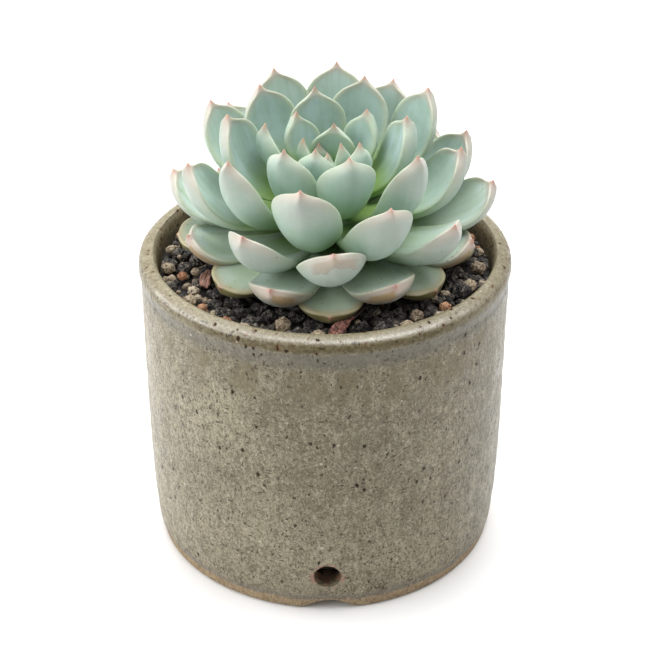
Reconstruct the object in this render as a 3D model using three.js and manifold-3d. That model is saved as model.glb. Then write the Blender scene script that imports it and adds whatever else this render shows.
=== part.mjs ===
// A rosette succulent in a round stoneware pot: pot, gritty potting mix, plant, loose pebbles, dried leaf scraps.
// Millimetres, +Z up. The origin is the middle of the pot's foot, on the surface it stands on. -Y is the front.
import * as THREE from 'three';
import { mergeVertices } from 'three/addons/utils/BufferGeometryUtils.js';
import Module from 'manifold-3d';

const wasm = await Module();
wasm.setup();

// ---------- driving dimensions ----------
const GAP = 0.3; // running gap between touching solids

// pot
const POT_HEIGHT = 97.3;
const BODY_RADIUS = 56;
const FOOT_RADIUS = 53.8;
const LIP_RADIUS = 56.5;
const LIP_BAND = 7.8; // height of the rounded lip
const BORE_RADIUS = 50.2; // inside of the wall
const RIM_EDGE_RADIUS = 50.8; // inner edge of the lip
const FLOOR_TOP = 9;
const FOOT_RECESS = 3; // depth of the hollow under the foot
const FOOT_RING_INNER = 45.5;
const DRAIN = { diameter: 8, x: 0.8, z: 13.5 };
const NOTCH = { width: 16.6, height: 3.2, x: 1.3 };
const POT_SIDES = 56;

// potting mix
const SOIL_TOP = 90.6;
const STEM_RADIUS = 7;
const STEM_FOOT = 80; // underside of the stem, in the mix
const SOIL_ROUGHNESS = 1.6; // how far the surface of the mix rises and dips between the grains
const GRIT = { count: 92, inner: 32, outer: 47.3, small: 2.2, large: 3.4, flatten: 0.78 };

// rosette
const AXIS_X = 1.5; // the stem stands this far right of the pot's axis
const LEAN = THREE.MathUtils.degToRad(5); // the rosette leans toward the front
const LEAN_PIVOT = 100; // height that the lean turns about
const WIDEST = 0.7; // where along a leaf it is widest
const SHOULDER = 0.955; // where the rounded end meets the small point
const CUSP = 0.15; // share of the half width at the foot of the point

// Whorls from the mix inward. at: azimuths from the front toward the right, in degrees. reach and tip: radius
// and height of the leaf points; root: height on the stem; rise: slope at the root and at the point, in degrees;
// pull: how far the midline keeps each slope, as a share of its span; shift: leaf number to [outward, up].
const WHORLS = [
  {
    at: [0, 47, 88, 124, 163, -160, -124, -88, -50],
    reach: 42, tip: 99.5, root: 100.5, rise: [10, 4], pull: [0.45, 0.36], width: 20, thick: 4.6,
    shift: { 2: [2, -2.5], 7: [4, 2] },
  },
  {
    at: [-23, 25, 75, 112, 150, -170, -127, -74],
    reach: 43.5, tip: 108, root: 103.5, rise: [0, 48], pull: [0.48, 0.36], width: 20, thick: 4.8,
    shift: { 1: [0, 1], 2: [0, -2] },
  },
  {
    at: [1, 52, 94, 133, 178, -142, -100, -35],
    reach: 44.5, tip: 121.5, root: 106, rise: [0, 68], pull: [0.45, 0.4], width: 20, thick: 4.8,
    shift: { 2: [4, -4], 3: [0, -1], 5: [7, 2], 6: [3, -3], 7: [-2, 1] },
  },
  {
    at: [-13, 24, 90, 112, 150, 177, -154, -126, -79],
    reach: 40.5, tip: 133, root: 108.5, rise: [4, 78], pull: [0.42, 0.5], width: 20, thick: 4.6,
    shift: { 0: [-4, 4], 2: [-2.5, -2.5], 3: [3.5, -6], 5: [-1, 4], 6: [-4, 6], 7: [4, -1], 8: [1, -3] },
  },
  {
    at: [-54, 49, 126, 161, -139, -98],
    reach: 32, tip: 137, root: 111, rise: [8, 82], pull: [0.45, 0.55], width: 19, thick: 4.4,
    shift: { 0: [3, 1], 1: [0, 3], 2: [3, 2], 5: [-2, 2] },
  },
  {
    at: [-37, 15, 96, -170],
    reach: 22, tip: 139, root: 113.5, rise: [15, 88], pull: [0.4, 0.55], width: 17.5, thick: 4.2,
    shift: {},
  },
  {
    at: [-145, 137, -99, -17, 52, 174],
    reach: 14.5, tip: 136, root: 116, rise: [30, 92], pull: [0.35, 0.5], width: 12, thick: 3.6,
    shift: { 2: [3, 0], 3: [-2, 0], 4: [-4, 0], 5: [-7, -2] },
  },
  {
    at: [-113, 60, -150, -3],
    reach: 6.5, tip: 131, root: 119, rise: [62, 98], pull: [0.3, 0.4], width: 7, thick: 2.8,
    shift: { 0: [1, 0], 1: [-3, 2], 2: [1, -2], 3: [2, 0] },
  },
];
const LEAF_ROWS = [0, 0.36, 0.62, 0.8, 0.9, SHOULDER]; // shares of a leaf's length
const LEAF_RING = [ // across share, and which face: 0 margin, 1 upper, -1 lower
  [-1, 0], [-0.5, 1], [0, 1], [0.5, 1], [1, 0], [0.58, -1], [0, -1], [-0.58, -1],
];

// Loose pebbles that show: azimuth, radius from the pot's axis, half size
const PUMICE = [
  [-17, 41.0, 3.3], [83, 46.4, 2.7], [38, 42.8, 2.4], [44, 47.2, 2.2], [30, 46.7, 2.7], [-29, 46.8, 2.4],
  [-57, 46.8, 2.6], [-63, 43.4, 2.0], [-97, 47.4, 2.0], [-83, 47.4, 2.3], [-2, 44.5, 2.1], [-14, 47.0, 2.2],
  [69, 45.5, 2.5], [118, 47.0, 2.3], [141, 46.4, 2.5], [165, 46.9, 2.4], [-168, 46.5, 2.2], [-141, 46.9, 2.6],
  [-119, 46.6, 2.3],
];
const TERRACOTTA = [
  [-37, 46.6, 1.9], [-50, 46.2, 1.8], [50, 45.2, 2.0], [-76, 43.7, 1.7], [106, 46.6, 1.8], [-155, 46.9, 1.8],
];

// Dried leaf scraps lying on the mix: azimuth, radius, length, width, turn in plan, height of the middle
const SCRAPS = [
  { name: 'dried_leaf_front', azimuth: 8, radius: 43.6, length: 11, width: 4.6, turn: 52, height: 92.6 },
  { name: 'dried_leaf_left', azimuth: -70, radius: 38.4, length: 8, width: 3.6, turn: 75, height: 92.0 },
];
const SCRAP_THICKNESS = 0.7;

// ---------- small helpers ----------
const material = (color, roughness) => new THREE.MeshStandardMaterial({ color, roughness, metalness: 0 });

// a repeatable random draw from 0 to 1 for each whole number
function draw(n) {
  let a = (Math.imul(n, 2654435761) + 1013904223) >>> 0;
  a = Math.imul(a ^ (a >>> 15), a | 1) >>> 0;
  a = (a ^ (a + Math.imul(a ^ (a >>> 7), a | 61))) >>> 0;
  return ((a ^ (a >>> 14)) >>> 0) / 4294967296;
}

function smooth(from, to, x) {
  const t = Math.min(1, Math.max(0, (x - from) / (to - from)));
  return t * t * (3 - 2 * t);
}

function polar(azimuth, radius, z) {
  const a = THREE.MathUtils.degToRad(azimuth);
  return new THREE.Vector3(radius * Math.sin(a), -radius * Math.cos(a), z);
}

function geometryOf(points, triangles) {
  const geometry = new THREE.BufferGeometry();
  geometry.setAttribute('position', new THREE.Float32BufferAttribute(points.flatMap((p) => [p.x, p.y, p.z]), 3));
  geometry.setIndex(triangles.flat());
  return geometry;
}

function solidOf(geometry) {
  const bare = geometry.clone();
  bare.deleteAttribute('normal');
  bare.deleteAttribute('uv');
  const merged = mergeVertices(bare, 1e-5);
  return new wasm.Manifold(new wasm.Mesh({
    numProp: 3,
    vertProperties: new Float32Array(merged.attributes.position.array),
    triVerts: new Uint32Array(merged.index.array),
  }));
}

// the largest single body of a solid, so that scraps left by a cut are dropped
function mainBody(solid) {
  return solid.decompose().reduce((a, b) => (b.volume() > a.volume() ? b : a));
}

function meshOf(name, solid, look) {
  const { vertProperties, triVerts } = mainBody(solid).getMesh();
  const geometry = new THREE.BufferGeometry();
  geometry.setAttribute('position', new THREE.BufferAttribute(vertProperties, 3));
  geometry.setIndex(new THREE.BufferAttribute(triVerts, 1));
  geometry.computeVertexNormals();
  const mesh = new THREE.Mesh(geometry, look);
  mesh.name = name;
  return mesh;
}

// a body of revolution about the upright axis, from [radius, height] pairs
function turned(profile, sides) {
  const lathe = new THREE.LatheGeometry(profile.map(([r, z]) => new THREE.Vector2(r, z)), sides);
  return solidOf(lathe.rotateX(Math.PI / 2));
}

// a cylinder that runs along Y
function crossBore(radius, x, z, fromY, toY, sides) {
  const bore = new THREE.CylinderGeometry(radius, radius, toY - fromY, sides);
  return solidOf(bore.translate(x, (fromY + toY) / 2, z));
}

// ---------- pot ----------
function potProfile() {
  const lipFoot = POT_HEIGHT - LIP_BAND;
  const outside = [
    [0, FOOT_RECESS], [FOOT_RING_INNER - 1, FOOT_RECESS], [FOOT_RING_INNER + 0.6, 0], [FOOT_RADIUS - 1, 0],
    [FOOT_RADIUS, 1], [54.9, 9], [55.7, 23], [BODY_RADIUS, 50], [BODY_RADIUS, lipFoot - 2], [55.7, lipFoot],
    [56.1, lipFoot + 1.5], [LIP_RADIUS, lipFoot + 3.4], [56.2, lipFoot + 5.4], [55.2, POT_HEIGHT - 0.9],
    [53.4, POT_HEIGHT],
  ];
  const inside = [
    [51.8, POT_HEIGHT - 0.4], [RIM_EDGE_RADIUS, POT_HEIGHT - 1.5], [BORE_RADIUS + 0.1, POT_HEIGHT - 4],
    [BORE_RADIUS, FLOOR_TOP + 5], [BORE_RADIUS - 1.4, FLOOR_TOP + 1.4], [BORE_RADIUS - 5, FLOOR_TOP], [0, FLOOR_TOP],
  ];
  return [...outside, ...inside];
}

function makePot() {
  const drain = crossBore(DRAIN.diameter / 2, DRAIN.x, DRAIN.z, -BODY_RADIUS - 4, -BORE_RADIUS + 6, 20);
  // an arc through the notch's two feet and its crown
  const arcRadius = (NOTCH.width ** 2 / 4 + NOTCH.height ** 2) / (2 * NOTCH.height);
  const notch = crossBore(
    arcRadius, NOTCH.x, NOTCH.height - arcRadius, -BODY_RADIUS - 4, -FOOT_RING_INNER + 5, 56,
  );
  const pot = turned(potProfile(), POT_SIDES).subtract(drain).subtract(notch);
  return meshOf('pot', pot, material(0x96937f, 0.42));
}

// ---------- leaves ----------
function halfWidthShare(t) {
  const u = (t - WIDEST) / (SHOULDER - WIDEST);
  const blade = t < WIDEST
    ? 0.34 + 0.66 * Math.sin((Math.PI / 2) * (t / WIDEST)) ** 1.4
    : Math.max(0, 1 - u ** 2.4) ** 0.55;
  const point = CUSP * Math.min(1.7, (1 - t) / (1 - SHOULDER)) * smooth(WIDEST, SHOULDER, t);
  return Math.hypot(blade, point);
}

function thicknessShare(t) {
  const body = 0.6 + 0.4 * Math.sin((Math.PI * t) / 1.1);
  return t > 0.7 ? body * Math.sqrt(1 - 0.96 * ((t - 0.7) / 0.3) ** 2.2) : body;
}

// the midline of a leaf, in its upright plane: x is the radius from the stem, y the height
function midline(whorl, index) {
  const [outward, up] = whorl.shift[index] ?? [0, 0];
  const root = new THREE.Vector2(3, whorl.root);
  const tip = new THREE.Vector2(whorl.reach + outward, whorl.tip + up);
  const span = root.distanceTo(tip);
  const [rootRise, tipRise] = whorl.rise.map(THREE.MathUtils.degToRad);
  const [rootPull, tipPull] = whorl.pull.map((share) => share * span);
  return new THREE.CubicBezierCurve(
    root,
    new THREE.Vector2(root.x + rootPull * Math.cos(rootRise), root.y + rootPull * Math.sin(rootRise)),
    new THREE.Vector2(tip.x - tipPull * Math.cos(tipRise), tip.y - tipPull * Math.sin(tipRise)),
    tip,
  );
}

// from the rosette's upright frame to the leaning one
function lean(p) {
  const h = p.z - LEAN_PIVOT;
  return new THREE.Vector3(
    AXIS_X + p.x,
    p.y * Math.cos(LEAN) - h * Math.sin(LEAN),
    LEAN_PIVOT + p.y * Math.sin(LEAN) + h * Math.cos(LEAN),
  );
}

// One thick leaf: narrow at the root, broad and cupped near the end, round shoulders and a small point.
// grow adds clearance all round, for cutting what the leaf lies on.
function leafSolid(whorl, index, grow = 0) {
  const curve = midline(whorl, index);
  const azimuth = THREE.MathUtils.degToRad(whorl.at[index]);
  const outward = new THREE.Vector3(Math.sin(azimuth), -Math.cos(azimuth), 0);
  const sideways = new THREE.Vector3(Math.cos(azimuth), Math.sin(azimuth), 0);
  const upward = new THREE.Vector3(0, 0, 1);
  const at = (t, across, face) => {
    const middle = curve.getPoint(t);
    const along = curve.getTangent(t);
    const half = whorl.width * 0.5 * halfWidthShare(t) + grow;
    let offset = 0.16 * whorl.width * halfWidthShare(t) * smooth(0, 0.6, t) * across * across;
    if (face > 0) offset += 0.12 * whorl.thick * thicknessShare(t) * (1 - across * across) + grow;
    if (face < 0) offset -= whorl.thick * thicknessShare(t) * (1 - Math.abs(across) ** 2.2) + grow;
    const r = middle.x - along.y * offset;
    const z = middle.y + along.x * offset;
    return lean(new THREE.Vector3()
      .addScaledVector(outward, r).addScaledVector(sideways, across * half).addScaledVector(upward, z));
  };
  const points = LEAF_ROWS.flatMap((t) => LEAF_RING.map(([across, face]) => at(t, across, face)));
  const size = LEAF_RING.length;
  const triangles = [];
  for (let row = 0; row + 1 < LEAF_ROWS.length; row++) {
    for (let k = 0; k < size; k++) {
      const a = row * size + k;
      const b = row * size + ((k + 1) % size);
      triangles.push([a, b + size, b], [a, a + size, b + size]);
    }
  }
  const last = (LEAF_ROWS.length - 1) * size;
  points.push(at(1, 0, 0), at(0, 0, 0));
  const tip = points.length - 2;
  const root = points.length - 1;
  for (let k = 0; k < size; k++) {
    triangles.push([last + k, tip, last + ((k + 1) % size)], [k, (k + 1) % size, root]);
  }
  return solidOf(geometryOf(points, triangles));
}

function forEachLeaf(action) {
  WHORLS.forEach((whorl, ring) => whorl.at.forEach((_, index) => action(whorl, index, ring)));
}

// the stem in the mix and the leaning core that the leaves grow from
function stemSolid() {
  const stem = turned([[0, STEM_FOOT + GAP], [STEM_RADIUS - 1, STEM_FOOT + GAP], [STEM_RADIUS, STEM_FOOT + 2],
    [STEM_RADIUS, 97], [0, 99]], 20).translate(AXIS_X, 0, 0);
  const core = new THREE.LatheGeometry(
    [[0, 93.5], [8, 95], [13, 99], [13.5, 104], [11, 111], [7, 117], [3, 122], [0, 123.5]]
      .map(([r, z]) => new THREE.Vector2(r, z - LEAN_PIVOT)),
    14,
  ).rotateX(Math.PI / 2).rotateX(LEAN).translate(AXIS_X, 0, LEAN_PIVOT);
  return stem.add(solidOf(core));
}

function makeRosette() {
  let rosette = stemSolid();
  forEachLeaf((whorl, index) => {
    rosette = rosette.add(leafSolid(whorl, index));
  });
  return meshOf('rosette', rosette, material(0xa3bfae, 0.55));
}

// ---------- pebbles ----------
// a rough pebble: an icosahedron with each corner pushed in or out
function pebbleGeometry(seed, halfSize, flatten) {
  const shape = mergeBare(new THREE.IcosahedronGeometry(halfSize, 0));
  const corners = shape.attributes.position;
  for (let k = 0; k < corners.count; k++) {
    const push = 0.84 + 0.3 * draw(seed * 37 + k);
    corners.setXYZ(k, corners.getX(k) * push, corners.getY(k) * push, corners.getZ(k) * push * flatten);
  }
  return shape.rotateZ(draw(seed * 53 + 5) * Math.PI * 2).rotateX((draw(seed * 59 + 7) - 0.5) * 0.7);
}

function mergeBare(geometry) {
  geometry.deleteAttribute('normal');
  geometry.deleteAttribute('uv');
  return mergeVertices(geometry, 1e-4);
}

function placedPebble([azimuth, radius, halfSize], seed, height) {
  const spot = polar(azimuth, radius, height);
  return {
    spot,
    halfSize,
    solid: solidOf(pebbleGeometry(seed, halfSize, 0.82).translate(spot.x, spot.y, spot.z)),
    pocket: solidOf(pebbleGeometry(seed, halfSize + 1.7 * GAP, 0.82).translate(spot.x, spot.y, spot.z)),
  };
}

// ---------- dried leaf scraps ----------
// a thin curled strip with a narrow stalk end; grow adds clearance for its seat
function scrapSolid(scrap, grow = 0) {
  const rows = 6;
  const spot = polar(scrap.azimuth, scrap.radius, scrap.height);
  const turn = THREE.MathUtils.degToRad(scrap.turn);
  const points = [];
  for (let i = 0; i <= rows; i++) {
    const t = i / rows;
    const along = (t - 0.5) * (scrap.length + 2 * grow);
    const half = scrap.width * 0.5 * (0.3 + 0.7 * Math.sin(Math.PI * t) ** 0.7) + grow;
    for (const [across, side] of [[-1, -1], [0, -1], [1, -1], [1, 1], [0, 1], [-1, 1]]) {
      const curl = 0.22 * scrap.width * across * across + 0.9 * Math.sin(Math.PI * t);
      const thick = side * (SCRAP_THICKNESS / 2 + grow);
      points.push(new THREE.Vector3(
        spot.x + along * Math.cos(turn) - across * half * Math.sin(turn),
        spot.y + along * Math.sin(turn) + across * half * Math.cos(turn),
        spot.z + curl + thick,
      ));
    }
  }
  const triangles = [];
  for (let i = 0; i < rows; i++) {
    for (let k = 0; k < 6; k++) {
      const a = i * 6 + k;
      const b = i * 6 + ((k + 1) % 6);
      triangles.push([a, b, b + 6], [a, b + 6, a + 6]);
    }
  }
  const end = rows * 6;
  for (const [start, flip] of [[0, true], [end, false]]) {
    for (const [a, b, c] of [[0, 1, 5], [1, 4, 5], [1, 2, 4], [2, 3, 4]]) {
      triangles.push(flip ? [start + a, start + c, start + b] : [start + a, start + b, start + c]);
    }
  }
  return solidOf(geometryOf(points, triangles));
}

// ---------- potting mix ----------
function gritSpots(taken) {
  const spots = [];
  for (let i = 0; i < GRIT.count; i++) {
    const share = (i + 0.5) / GRIT.count;
    const radius = Math.sqrt(GRIT.inner ** 2 + (GRIT.outer ** 2 - GRIT.inner ** 2) * share);
    const halfSize = GRIT.small + (GRIT.large - GRIT.small) * draw(i + 11);
    const spot = polar(i * 137.508, Math.min(radius, BORE_RADIUS - GAP - 1.16 * halfSize), SOIL_TOP);
    spot.z += (0.25 + 0.5 * smooth(42, 46, radius)) * halfSize * draw(i + 301);
    const free = taken.every((p) => Math.hypot(p.spot.x - spot.x, p.spot.y - spot.y) > 0.55 * (p.halfSize + halfSize));
    if (free) spots.push({ seed: i, spot, halfSize });
  }
  return spots;
}

// The mix fills the pot: a plug with a rough top, as rings of points that rise and dip.
function plugSolid() {
  const sides = 36;
  const wall = BORE_RADIUS - GAP - 0.15;
  const top = [9, 16, 23, 30];
  const rings = [
    [wall - 5.2, FLOOR_TOP + GAP], [wall - 1.6, FLOOR_TOP + 1.9], [wall, FLOOR_TOP + 5.4], [wall, SOIL_TOP],
    ...top.reverse().map((radius) => [radius, SOIL_TOP]),
  ];
  const points = rings.flatMap(([radius, z], ring) => Array.from({ length: sides }, (_, k) => {
    const rough = ring > 3 ? SOIL_ROUGHNESS * (draw(ring * sides + k) - 0.5) : 0;
    const turnBy = ring > 3 ? 90 / sides * (draw(ring * sides + k + 4000) - 0.5) : 0;
    return polar((360 * k) / sides + turnBy, radius, z + rough);
  }));
  points.push(polar(0, 0, FLOOR_TOP + GAP), polar(0, 0, SOIL_TOP));
  const [under, over] = [points.length - 2, points.length - 1];
  const triangles = [];
  for (let k = 0; k < sides; k++) {
    const next = (k + 1) % sides;
    for (let ring = 0; ring + 1 < rings.length; ring++) {
      const low = ring * sides;
      const high = low + sides;
      triangles.push([low + k, low + next, high + next], [low + k, high + next, high + k]);
    }
    const last = (rings.length - 1) * sides;
    triangles.push([under, next, k], [last + k, last + next, over]);
  }
  return solidOf(geometryOf(points, triangles));
}

function makeSoil(pebbles) {
  let soil = plugSolid();
  for (const { seed, spot, halfSize } of gritSpots(pebbles)) {
    soil = soil.add(solidOf(pebbleGeometry(seed + 500, halfSize, GRIT.flatten).translate(spot.x, spot.y, spot.z)));
  }
  for (const pebble of pebbles) soil = soil.subtract(pebble.pocket);
  for (const scrap of SCRAPS) soil = soil.subtract(scrapSolid(scrap, GAP + 0.05));
  WHORLS[0].at.forEach((_, index) => {
    soil = soil.subtract(leafSolid(WHORLS[0], index, GAP + 0.1));
  });
  const stemHole = turned([[0, STEM_FOOT], [STEM_RADIUS + GAP, STEM_FOOT], [STEM_RADIUS + GAP, SOIL_TOP + 8],
    [0, SOIL_TOP + 8]], 20).translate(AXIS_X, 0, 0);
  return meshOf('potting_mix', soil.subtract(stemHole), material(0x3a3633, 0.95));
}

// ---------- the object ----------
const object = new THREE.Group();
const pumice = PUMICE.map((entry, i) => placedPebble(entry, i + 900, SOIL_TOP + 1.3));
const terracotta = TERRACOTTA.map((entry, i) => placedPebble(entry, i + 950, SOIL_TOP + 1.4));

object.add(makePot(), makeSoil([...pumice, ...terracotta]), makeRosette());
pumice.forEach((pebble, i) => {
  object.add(meshOf(`pumice_${String(i + 1).padStart(2, '0')}`, pebble.solid, material(0xb9ab98, 0.95)));
});
terracotta.forEach((pebble, i) => {
  object.add(meshOf(`terracotta_chip_${i + 1}`, pebble.solid, material(0xb9714c, 0.9)));
});
for (const scrap of SCRAPS) {
  object.add(meshOf(scrap.name, scrapSolid(scrap), material(0x8a5a4c, 0.85)));
}

export default object;
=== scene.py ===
"""A rosette succulent in a round stoneware pot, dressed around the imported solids.
Shapes are worked out in millimetres and turned into metres when a mesh is made. -Y is the front."""

import math

import bpy
import numpy as np
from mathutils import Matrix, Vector, noise
from mathutils.bvhtree import BVHTree


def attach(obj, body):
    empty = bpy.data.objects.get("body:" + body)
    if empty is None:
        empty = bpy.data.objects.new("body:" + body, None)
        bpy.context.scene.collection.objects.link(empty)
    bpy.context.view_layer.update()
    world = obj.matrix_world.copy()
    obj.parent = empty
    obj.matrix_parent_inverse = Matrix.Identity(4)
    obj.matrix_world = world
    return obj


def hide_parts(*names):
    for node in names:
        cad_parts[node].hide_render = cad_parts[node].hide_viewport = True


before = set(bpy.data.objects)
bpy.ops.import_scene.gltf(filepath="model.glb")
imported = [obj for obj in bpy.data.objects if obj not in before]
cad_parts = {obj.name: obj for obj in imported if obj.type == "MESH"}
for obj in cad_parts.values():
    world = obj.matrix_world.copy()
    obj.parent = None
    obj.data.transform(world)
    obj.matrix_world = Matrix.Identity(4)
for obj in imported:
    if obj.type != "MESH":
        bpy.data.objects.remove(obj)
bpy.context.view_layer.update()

# ---------- sizes, in millimetres ----------
MM = 0.001
GAP = 0.3

# pot
POT_HEIGHT = 97.3
BODY_RADIUS = 56
FOOT_RADIUS = 53.8
LIP_RADIUS = 56.5
LIP_BAND = 7.8
LIP_FOOT = POT_HEIGHT - LIP_BAND
BORE_RADIUS = 50.2
RIM_EDGE_RADIUS = 50.8
FLOOR_TOP = 9
FOOT_RECESS = 3
FOOT_RING_INNER = 45.5
DRAIN = {"radius": 4, "x": 0.8, "z": 13.5, "edge": 0.8, "wall": 55.1, "depth": 10.9}
NOTCH = {"half_width": 9.6, "height": 3.2, "x": 1.3, "fades_at": 11}
POT_SIDES = 384
POT_STEP = 1.1  # longest step of the fine profile
GLAZE_LINE = 3.9  # mean height of the glaze's lower edge over the bare foot
GLAZE_THICKNESS = 0.3
CUTTER_SIDES = 64
# runs of thick glaze at the front: middle across and up, half width, half height and thickness
RUNS = [
    (2, 45, 2.2, 13, 0.5), (4.5, 41, 1.6, 8, 0.45), (-1.5, 52, 1.8, 10, 0.3), (3, 66, 3.2, 8, 0.22),
    (1.2, 40, 1.1, 12, -0.35),
]

# potting mix
SOIL_TOP = 90.6
STEM_RADIUS = 7
STEM_FOOT = 80
PLUG_SIDES = 180
PLUG_RINGS = 61
GRIT = {"count": 92, "inner": 32, "outer": 47.3, "small": 2.2, "large": 3.4, "flatten": 0.78}
FINE_GRIT = {"count": 1700, "inner": 27, "outer": 49.3, "small": 0.55, "large": 1.75, "flatten": 0.85}
TURN = 137.508  # degrees from one grain to the next, which spreads them evenly

# rosette
AXIS_X = 1.5
LEAN = math.radians(5)
LEAN_PIVOT = 100
RING_POINTS = 40
BLADE_ROWS = 18
MIDLINE_STEPS = 200
LEAF_LAYER = 50  # keeps the marks of one leaf apart from those of the next
UNSCUFFED = (9, 9)
STEM_SIDES = 40
STEM = [(0, STEM_FOOT + GAP), (STEM_RADIUS - 1, STEM_FOOT + GAP), (STEM_RADIUS, STEM_FOOT + 2),
        (STEM_RADIUS, 97), (0, 99)]
CORE = [(0, 93.5), (8, 95), (13, 99), (13.5, 104), (11, 111), (7, 117), (3, 122), (0, 123.5)]
END_ANGLES = [85, 80, 75, 70, 65, 60, 54, 48, 42, 36, 30, 25, 20, 16, 12.5, 9.5, 7, 4.8, 3, 1.4]
# How a leaf ends, for each whorl: share of its length where it is widest, length of its small point, how fast
# the point narrows, and the two powers of the round end under it. Young leaves are more pointed.
ENDS = [
    (0.7, 0.9, 0.9, 2.7, 2.5), (0.7, 1.7, 1, 2.6, 2.4), (0.7, 2.4, 1.2, 2.6, 2.4), (0.7, 3, 1.4, 2.4, 2.3),
    (0.7, 3.2, 1.5, 2.3, 2.2), (0.68, 3.5, 1.6, 2.3, 2.2), (0.62, 3.5, 1.5, 2.1, 1.9),
    (0.45, 2.6, 1.2, 1.6, 1.4),
]

# Whorls from the mix inward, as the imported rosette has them. at: azimuths from the front toward the right;
# reach and tip: radius and height of the points; root: height on the stem; rise: slope at root and point;
# pull: share of the span that keeps each slope; shift: leaf number to outward and up.
WHORLS = [
    dict(at=[0, 47, 88, 124, 163, -160, -124, -88, -50], reach=42, tip=99.5, root=100.5,
         rise=(10, 4), pull=(0.45, 0.36), width=20, thick=5.2, shift={2: (2, -2.5), 7: (4, 2)}),
    dict(at=[-23, 25, 75, 112, 150, -170, -127, -74], reach=43.5, tip=108, root=103.5,
         rise=(0, 48), pull=(0.48, 0.36), width=20, thick=4.8, twist={0: 5, 1: 3},
         scuffed={0: (0.05, 0.66), 1: (-0.75, 0), 2: (-1.2, -0.2), 4: (-0.6, 0.1), 7: (0.2, 1.2)},
         shift={1: (0, 1), 2: (0, -2)}),
    dict(at=[1, 52, 94, 133, 178, -142, -100, -35], reach=44.5, tip=121.5, root=106,
         rise=(0, 68), pull=(0.45, 0.4), width=20, thick=4.8, twist={0: 8, 2: 8, 6: -10},
         scuffed={0: (-0.64, 0.72)},
         shift={0: (0, 1.6), 2: (4, -4), 3: (0, -1), 5: (7, 2), 6: (3, -3), 7: (-2, 1)}),
    dict(at=[-13, 24, 90, 112, 151, 177, -154, -126, -79], reach=40.5, tip=133, root=108.5,
         rise=(4, 78), pull=(0.42, 0.5), width=20, thick=4.6, twist={2: 11, 3: 5, 8: -13},
         shift={0: (-4, 4.7), 2: (-2.5, -2.5), 3: (3.5, -6), 4: (-0.5, 1.5), 5: (-0.3, 4.8), 6: (-1.5, 5.2),
                7: (4, -1), 8: (1, -3)}),
    dict(at=[-54, 49, 125, 161, -140, -98], reach=32, tip=137, root=111,
         rise=(8, 82), pull=(0.45, 0.55), width=19, thick=4.4, twist={5: -13},
         shift={0: (3, 1), 1: (0, 3), 2: (3.5, 2.2), 3: (0.2, 1), 4: (0.8, 0.8), 5: (-2, 2)}),
    dict(at=[-37, 14, 96, -168], reach=22, tip=139, root=113.5,
         rise=(15, 88), pull=(0.4, 0.55), width=17.5, thick=4.2, twist={2: 6},
         shift={0: (-0.5, 0.8), 1: (0, 0.8), 2: (0, 0.5), 3: (-0.2, 0)}),
    dict(at=[-140, 137, -100, -20, 52, 172], reach=14.5, tip=136, root=116,
         rise=(30, 92), pull=(0.35, 0.5), width=13, thick=3.6, twist={2: 25},
         shift={0: (0.8, -0.2), 1: (1, 0.8), 2: (4.5, 0.5), 3: (-2.2, 0.8), 4: (-4, -0.2), 5: (-6.8, -1.8)}),
    dict(at=[-114, 56, -153, -6], reach=6.5, tip=131, root=119,
         rise=(62, 98), pull=(0.3, 0.4), width=7, thick=2.8, twist={0: 35},
         shift={0: (1.8, 0.5), 1: (-3, 2), 2: (0.5, -2.8), 3: (1, 2)}),
]

CUP = [0.04, 0.06, 0.11, 0.14, 0.15, 0.14, 0.12, 0.1]  # how much each whorl's leaves are hollowed

PLUMP = [3.4, 2.8, 2.4, 2.2, 2.2, 2.2, 2.2, 2.2]  # the higher, the longer a leaf stays thick toward its point

# loose pebbles: azimuth, radius from the pot's axis, half size
PUMICE = [
    (-17, 41.0, 2.9), (83, 46.4, 2.7), (38, 42.8, 2.4), (44, 47.2, 2.2), (30, 46.7, 2.7), (-29, 46.8, 2.4),
    (-57, 46.8, 2.6), (-63, 43.4, 2.0), (-97, 47.4, 2.0), (-83, 47.4, 2.3), (-2, 44.5, 2.1), (-14, 47.0, 2.2),
    (69, 45.5, 2.5), (118, 47.0, 2.3), (141, 46.4, 2.5), (165, 46.9, 2.4), (-168, 46.5, 2.2),
    (-141, 46.9, 2.6), (-119, 46.6, 2.3),
]
TERRACOTTA = [
    (-37, 46.6, 1.9), (-50, 46.2, 1.8), (50, 45.2, 2), (-76, 43.7, 1.7), (106, 46.6, 1.8), (-155, 46.9, 1.8),
]
PEBBLE_FLATTEN = 0.82
STONE_LEVEL = 4  # how often the faces of a large stone are split
PALE_FROM = 34  # beyond this far to the left or right, more of the loose grains are pale

# dried leaf scraps: azimuth, radius, length, width, turn in plan, height of the middle, length of the stalk,
# how far the far end climbs, and how far the piece lies from its packed place
SCRAPS = {
    "dried_leaf_front": dict(azimuth=8, radius=43.6, length=11, width=4.4, turn=52, height=92.6, stalk=5,
                             climb=1.6, nudge=(-0.8, 0.2)),
    "dried_leaf_left": dict(azimuth=-70, radius=38.4, length=8, width=3.4, turn=75, height=92.0, stalk=0,
                            climb=1.0, nudge=(1.6, 0.4)),
}
SCRAP_THICKNESS = 0.6
SCRAP_ROWS = 49
SCRAP_COLUMNS = 13


# ---------- small helpers ----------
UP = Vector((0, 0, 1))


def draw(n):
    """A repeatable random draw from 0 to 1 for each whole number, the same one that placed the solids."""
    mask = 0xFFFFFFFF
    a = (n * 2654435761 + 1013904223) & mask
    a = ((a ^ (a >> 15)) * (a | 1)) & mask
    a ^= (a + (((a ^ (a >> 7)) * (a | 61)) & mask)) & mask
    return (a ^ (a >> 14)) / 4294967296


def smooth(low, high, x):
    t = np.clip((x - low) / (high - low), 0, 1)
    return t * t * (3 - 2 * t)


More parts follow.
